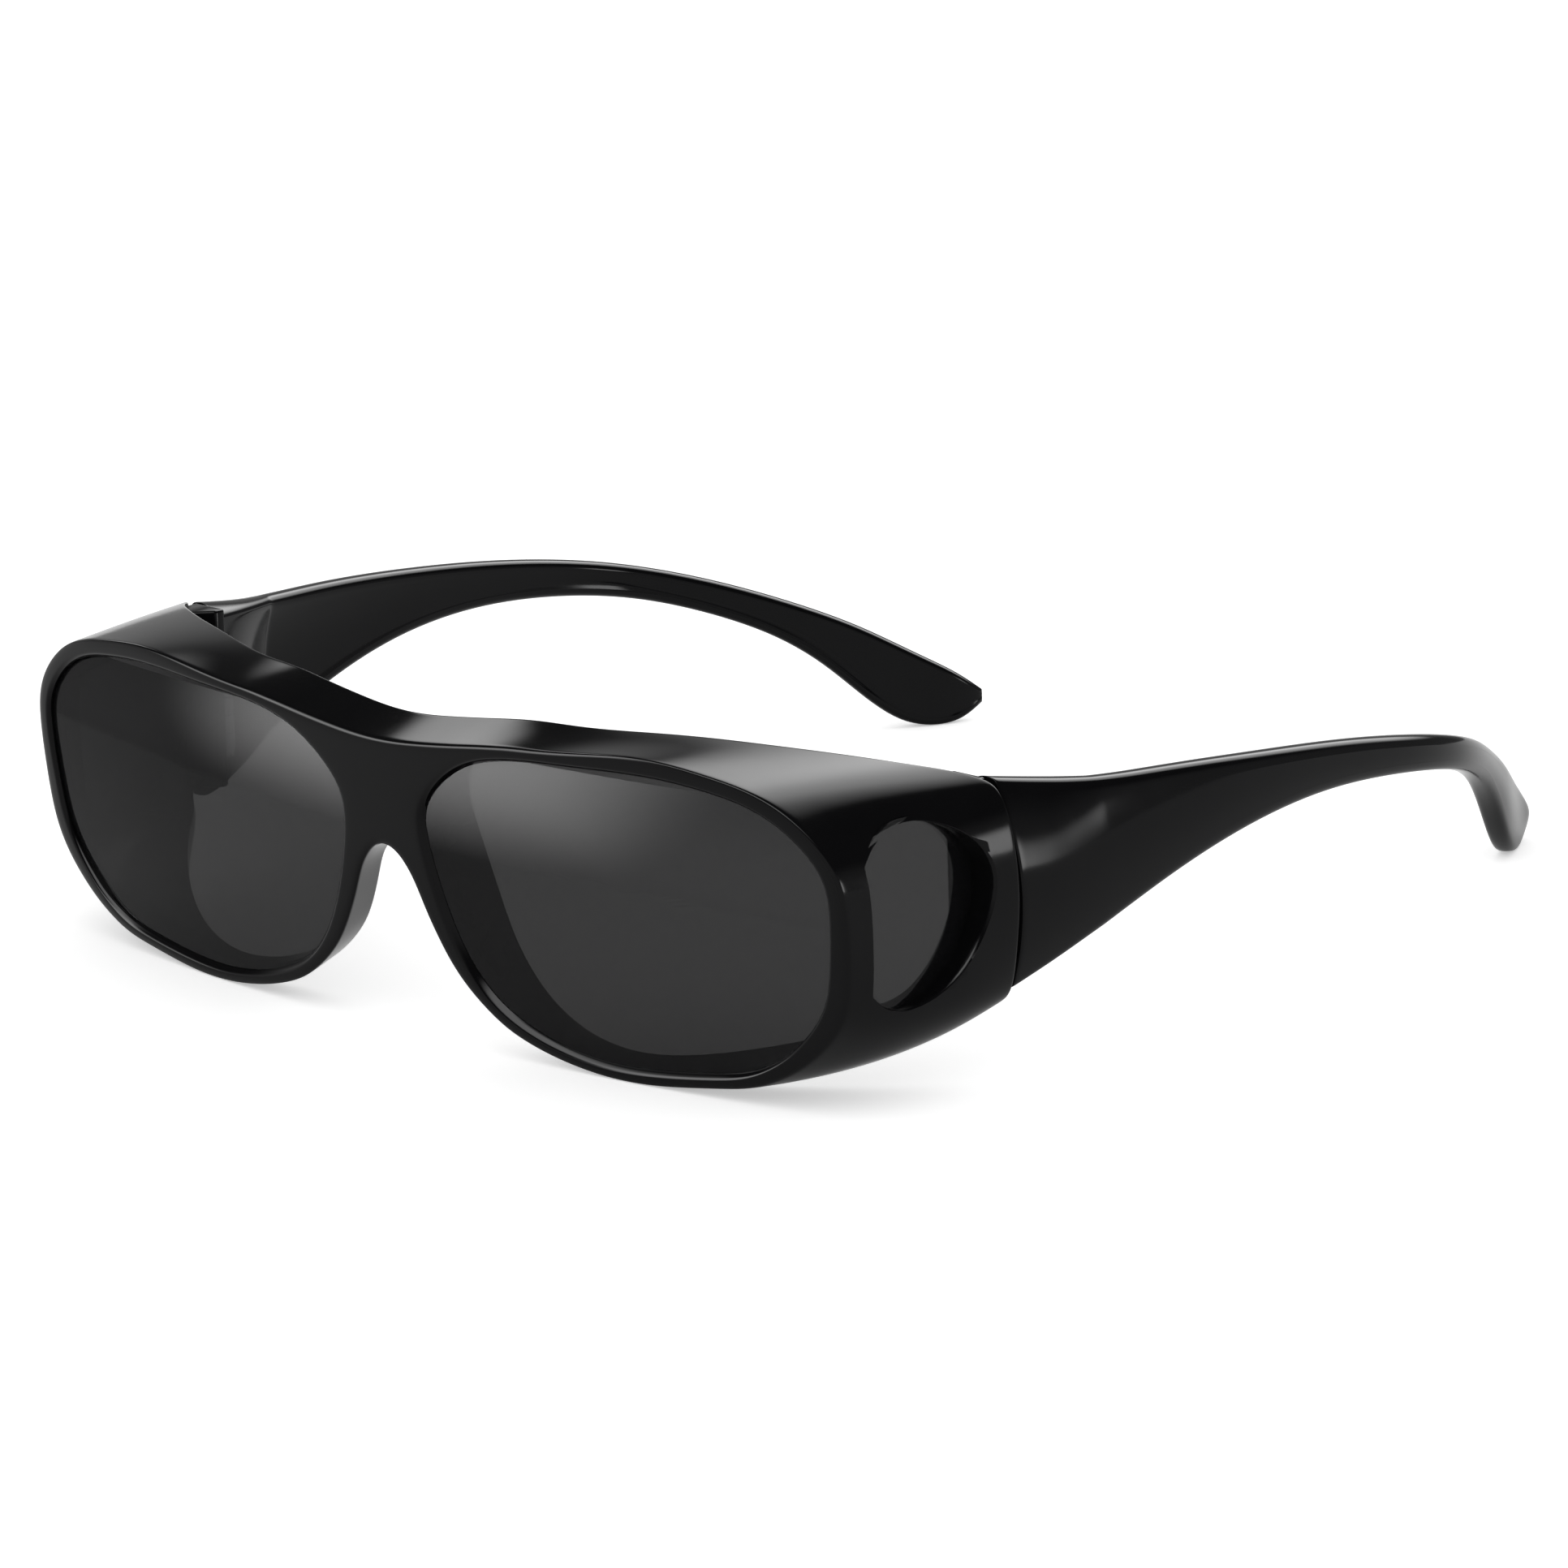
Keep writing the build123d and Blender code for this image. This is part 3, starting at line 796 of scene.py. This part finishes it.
def softened(name, width):
    """A copy of a hinge node with its doubles merged and its edges slightly broken."""
    piece = bpy.data.objects.new(name + "_finished", frame["nodes"][name].data.copy())
    piece.data.name = piece.name
    bpy.context.scene.collection.objects.link(piece)
    in_edit_mode(
        piece,
        (bpy.ops.mesh.remove_doubles, {"threshold": touching * MM}),
        (bpy.ops.mesh.dissolve_limited, {"angle_limit": flat_angle}),
    )
    settings = {"width": width * MM, "segments": 2, "limit_method": "ANGLE"}
    apply_modifier(piece, "BEVEL", angle_limit=sharp_angle, **settings)
    return piece


def linear(hex_colour):
    """An sRGB hex colour as linear red, green, blue and alpha."""
    channels = [int(hex_colour[k : k + 2], 16) / 255 for k in (1, 3, 5)]
    return [c / 12.92 if c <= 0.04045 else ((c + 0.055) / 1.055) ** 2.4 for c in channels] + [1]


def set_inputs(tree, node, inputs):
    """Gives inputs of a node plain values, or links from other nodes' sockets."""
    for name, value in inputs.items():
        if isinstance(value, bpy.types.NodeSocket):
            tree.links.new(value, node.inputs[name])
        else:
            node.inputs[name].default_value = value


def add_node(tree, kind, settings=None, inputs=None):
    """Adds a node with its settings, its input values and its links."""
    node = tree.nodes.new(kind)
    for name, value in (settings or {}).items():
        setattr(node, name, value)
    set_inputs(tree, node, inputs or {})
    return node


def new_material(name, **sockets):
    """A node material with its Principled shader's plain values set."""
    material = bpy.data.materials.new(name)
    material.use_nodes = True
    shader = material.node_tree.nodes["Principled BSDF"]
    for socket, value in sockets.items():
        shader.inputs[socket.replace("_", " ")].default_value = value
    return material, material.node_tree, shader


def let_vary(tree, shader, tone_marks, colours, dull_marks, roughness):
    """Lets a shader's colour and its roughness drift between two values, each with its marks."""
    dark, pale = (linear(colour) for colour in colours)
    tone = add_node(
        tree, "ShaderNodeMix", {"data_type": "RGBA"}, {"Factor": tone_marks, "A": dark, "B": pale}
    ).outputs["Result"]
    least, most = roughness
    dull = add_node(
        tree, "ShaderNodeMapRange", inputs={"Value": dull_marks, "To Min": least, "To Max": most}
    ).outputs["Result"]
    set_inputs(tree, shader, {"Base Color": tone, "Roughness": dull})


# The materials' patterns are sized in millimetres, in each piece's own coordinates.

# Injection moulded polycarbonate, polished in the mould: near black, with sharp reflections that
# swim a little where the wall cooled unevenly, and a thin haze of handling
black_plastic, tree, shader = new_material("polished_black_polycarbonate", IOR=1.2)
swim_depth = 0.012
spot = add_node(tree, "ShaderNodeTexCoord").outputs["Object"]
clouds, smears, waves = (
    add_node(
        tree, "ShaderNodeTexNoise",
        inputs={"Vector": spot, "Scale": 1 / (size * MM), "Detail": detail},
    ).outputs["Fac"]
    for size, detail in ((6.0, 2.0), (2.5, 4.0), (7.0, 1.0))
)
let_vary(tree, shader, clouds, ("#070708", "#0b0b0c"), smears, (0.07, 0.13))
swim = add_node(
    tree, "ShaderNodeBump", inputs={"Height": waves, "Strength": 1.0, "Distance": swim_depth * MM}
).outputs["Normal"]
set_inputs(tree, shader, {"Normal": swim})

# Polycarbonate sheet dyed dark grey right through, pressed and polished: seen through, with a
# clear film of reflection
lens_material, tree, shader = new_material("dyed_grey_lens_polycarbonate", IOR=1.22, Alpha=0.84)
spot = add_node(tree, "ShaderNodeTexCoord").outputs["Object"]
clouds, smears = (
    add_node(
        tree, "ShaderNodeTexNoise",
        inputs={"Vector": spot, "Scale": 1 / (size * MM), "Detail": detail},
    ).outputs["Fac"]
    for size, detail in ((12.0, 2.0), (4.0, 3.0))
)
let_vary(tree, shader, clouds, ("#0b0b0c", "#101011"), smears, (0.05, 0.08))
side_lens_material = lens_material.copy()
side_lens_material.name = "dyed_grey_side_lens_polycarbonate"
# The front sheet is pressed to a rounder curve towards its top, which turns its reflection up to
# the front light there: its surface falls back as the square of the height over its foot
height = add_node(tree, "ShaderNodeSeparateXYZ", inputs={"Vector": spot}).outputs["Z"]
above = add_node(
    tree, "ShaderNodeMapRange",
    inputs={"Value": height, "From Min": curve_start * MM, "From Max": opening_height * MM},
).outputs["Result"]
fall = add_node(tree, "ShaderNodeMath", {"operation": "POWER"}, {0: above, 1: 2.0}).outputs[0]
curve = add_node(
    tree, "ShaderNodeBump", {"invert": True},
    {"Height": fall, "Strength": 1.0, "Distance": curve_fall * MM},
).outputs["Normal"]
set_inputs(tree, shader, {"Normal": curve})

# Stamped spring steel, brushed along the strip before it is cut: a soft grey shine with fine
# lines, drawn 0.12 mm apart so that they show
stamped_steel, tree, shader = new_material("stamped_brushed_steel", Metallic=1.0)
line_pitch = 0.12
brush_scale = (1, 1, 0.04)
spot = add_node(tree, "ShaderNodeTexCoord").outputs["Object"]
drawn = add_node(
    tree, "ShaderNodeMapping", inputs={"Vector": spot, "Scale": brush_scale}
).outputs["Vector"]
lines = add_node(
    tree, "ShaderNodeTexNoise", inputs={"Vector": drawn, "Scale": 1 / (line_pitch * MM)}
).outputs["Fac"]

# Turned steel screw: brighter, with the tool's rings 0.15 mm apart round its axis. The texture
# draws a ring every pi / 10 of its own units.
turned_steel, turned_tree, turned_shader = new_material("turned_bright_steel", Metallic=1.0)
ring_pitch = 0.15
spot = add_node(turned_tree, "ShaderNodeTexCoord").outputs["Object"]
spot = add_node(turned_tree, "ShaderNodeSeparateXYZ", inputs={"Vector": spot}).outputs
side_x = add_node(turned_tree, "ShaderNodeMath", {"operation": "ABSOLUTE"}, {0: spot["X"]})
offsets = [
    add_node(
        turned_tree, "ShaderNodeMath", {"operation": "SUBTRACT"}, {0: value, 1: centre * MM}
    ).outputs[0]
    for value, centre in ((side_x.outputs[0], pin_x), (spot["Y"], pin_row_y))
]
from_axis = add_node(
    turned_tree, "ShaderNodeCombineXYZ", inputs={"X": offsets[0], "Y": offsets[1]}
).outputs["Vector"]
rings = add_node(
    turned_tree, "ShaderNodeTexWave", {"wave_type": "RINGS", "rings_direction": "Z"},
    {"Vector": from_axis, "Scale": 1 / (ring_pitch * MM) * pi / 10, "Distortion": 0.4},
).outputs["Fac"]

# The two steels: their shades, how dull the marks leave them, and how deep the marks are
mark_depth = 0.004
for tree, shader, marks, shades, dullness in (
    (tree, shader, lines, ("#9a9a9e", "#c2c2c6"), (0.28, 0.42)),
    (turned_tree, turned_shader, rings, ("#b4b2ae", "#d2d0cc"), (0.18, 0.30)),
):
    let_vary(tree, shader, marks, shades, marks, dullness)
    relief = add_node(
        tree, "ShaderNodeBump",
        inputs={"Height": marks, "Strength": 1.0, "Distance": mark_depth * MM},
    ).outputs["Normal"]
    set_inputs(tree, shader, {"Normal": relief})


def dress(piece, node, body, material, sharp=40):
    """Gives a piece its material and lets it stand for its node on the node's body.

    Its shading is smooth, but for edges sharper than an angle in degrees.
    """
    piece.data.materials.clear()
    piece.data.materials.append(material)
    select_only(piece)
    bpy.ops.object.shade_smooth_by_angle(angle=radians(sharp))
    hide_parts(node)
    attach(piece, body)


dress(make_front_frame(), "front_frame", "front", black_plastic)

pieces = [make_lens(), make_side_lens(), make_temple()]
for side in ("left", "right"):
    if side == "right":
        pieces = [mirrored(piece, piece.name.replace("left", side)) for piece in pieces]
    lens, side_lens, temple = pieces
    arm = "temple_" + side
    dress(lens, "lens_" + side, "front", lens_material)
    dress(side_lens, "side_lens_" + side, "front", side_lens_material)
    dress(temple, arm, arm, black_plastic)
    for kind, body, slot, steel, edge in (
        ("hinge_leaf_front_", "front", "hinge_steel", stamped_steel, leaf_edge),
        ("hinge_leaf_temple_", arm, "hinge_steel", stamped_steel, leaf_edge),
        ("hinge_screw_", "front", "screw_steel", turned_steel, screw_edge),
    ):
        dress(softened(kind + side, edge), kind + side, body, steel, sharp=30)

# Camera, solved from matching points of the photograph: where it looks from, the point it is
# aimed at, and how far past that point it looks, to the right and up
view_azimuth = radians(44.88)
view_height = radians(15.03)
view_roll = radians(-1.78)
view_distance = 1429.86
focal_length = 250.4
film_width = 36
sight_limit = 10
aim_point = (0, 55.0, 20.0)
aim_right = 12.33
aim_up = 1.69


def make_camera():
    """The camera at the photograph's viewing angle."""
    right = np.array([cos(view_azimuth), sin(view_azimuth), 0])
    back = np.array([
        sin(view_azimuth) * cos(view_height),
        -cos(view_azimuth) * cos(view_height),
        sin(view_height),
    ])
    up = np.cross(back, right)
    level = cos(view_roll) * right + sin(view_roll) * up
    upward = cos(view_roll) * up - sin(view_roll) * right
    target = np.array(aim_point) + aim_right * level + aim_up * upward
    data = bpy.data.cameras.new("camera")
    data.sensor_width = film_width
    data.lens = focal_length
    data.clip_end = sight_limit
    camera = bpy.data.objects.new("camera", data)
    bpy.context.scene.collection.objects.link(camera)
    turn = Matrix((level, upward, back)).transposed()
    camera.matrix_world = Matrix.Translation(place(target + view_distance * back)) @ turn.to_4x4()
    bpy.context.scene.camera = camera


make_camera()

# Studio: a plain white surround lights everything evenly. Polished surfaces reflect a darker room
# with soft windows of light, each given by its direction and its half sizes in degrees, how
# bright it is, and how soft its edge is as a share of its size.
light_windows = [
    (104, 38, 31, 20, 7.6, 0.4),
    (24, 4, 6, 7, 13.0, 0.5),
    (153.5, 26, 7.5, 7, 3.8, 0.5),
    (-134.5, 24, 14, 20, 14.0, 0.6),
    (-95, 56, 60, 18, 10.0, 0.5),
    (-80, 6, 150, 14, 0.95, 0.9),
]
room_tone = 0.07

world = bpy.data.worlds.new("studio")
bpy.context.scene.world = world
world.use_nodes = True
tree = world.node_tree
way = add_node(tree, "ShaderNodeTexCoord").outputs["Generated"]
way = add_node(tree, "ShaderNodeSeparateXYZ", inputs={"Vector": way}).outputs
turn = add_node(
    tree, "ShaderNodeMath", {"operation": "ARCTAN2"}, {0: way["Y"], 1: way["X"]}
).outputs[0]
rise = add_node(tree, "ShaderNodeMath", {"operation": "ARCSINE"}, {0: way["Z"]}).outputs[0]
room_light = room_tone
for azimuth, height, half_width, half_height, strength, softness in light_windows:
    limits = {0: turn, 1: radians(azimuth) + pi, 2: radians(azimuth) - pi}
    nearest = add_node(tree, "ShaderNodeMath", {"operation": "WRAP"}, limits).outputs[0]
    across, upward = (
        add_node(
            tree, "ShaderNodeMapRange", {"clamp": False},
            {
                "Value": angle, "To Min": -1.0, "To Max": 1.0,
                "From Min": radians(middle - half), "From Max": radians(middle + half),
            },
        ).outputs["Result"]
        for angle, middle, half in ((nearest, azimuth, half_width), (rise, height, half_height))
    )
    spot = add_node(tree, "ShaderNodeCombineXYZ", inputs={"X": across, "Y": upward}).outputs[0]
    spot = add_node(
        tree, "ShaderNodeVectorMath", {"operation": "MULTIPLY"}, {0: spot, 1: spot}
    ).outputs["Vector"]
    reach = add_node(tree, "ShaderNodeVectorMath", {"operation": "LENGTH"}, {0: spot})
    reach = add_node(
        tree, "ShaderNodeMath", {"operation": "SQRT"}, {0: reach.outputs["Value"]}
    ).outputs[0]
    window = add_node(
        tree, "ShaderNodeMapRange", {"interpolation_type": "SMOOTHSTEP"},
        {
            "Value": reach, "From Min": 1.0 + softness / 2, "From Max": 1.0 - softness,
            "To Min": 0.0, "To Max": strength,
        },
    ).outputs["Result"]
    room_light = add_node(
        tree, "ShaderNodeMath", {"operation": "ADD"}, {0: window, 1: room_light}
    ).outputs[0]
rays = add_node(tree, "ShaderNodeLightPath").outputs
strength = add_node(
    tree, "ShaderNodeMix", {"data_type": "FLOAT"},
    {"Factor": rays["Is Glossy Ray"], "A": 1.0, "B": room_light},
).outputs["Result"]
set_inputs(tree, tree.nodes["Background"], {"Color": linear("#ffffff"), "Strength": strength})

# White table: lit like everything else, and bright enough by itself to read as pure white, also
# in reflections and through the lenses, except where the glasses shade it
table_size = 8
seen_glow = 0.42
mirrored_glow = 0.1
bpy.ops.object.select_all(action="DESELECT")
bpy.ops.mesh.primitive_plane_add(size=table_size)
floor = bpy.context.object
floor.name = "table"
floor_material, tree, shader = new_material(
    "matt_white_table", Base_Color=linear("#f2f2f2"), Roughness=0.8, Specular_IOR_Level=0.0
)
rays = add_node(tree, "ShaderNodeLightPath").outputs
mirrored_ray = add_node(
    tree, "ShaderNodeMath", {"operation": "MAXIMUM"},
    {0: rays["Is Glossy Ray"], 1: rays["Is Transmission Ray"]},
).outputs[0]
seen = add_node(
    tree, "ShaderNodeMath", {"operation": "MULTIPLY"}, {0: rays["Is Camera Ray"], 1: seen_glow}
).outputs[0]
glow = add_node(
    tree, "ShaderNodeMath", {"operation": "MULTIPLY_ADD"},
    {0: mirrored_ray, 1: mirrored_glow, 2: seen},
).outputs[0]
set_inputs(tree, shader, {"Emission Strength": glow, "Emission Color": linear("#ffffff")})
floor.data.materials.append(floor_material)
bpy.context.scene.view_settings.view_transform = "Standard"
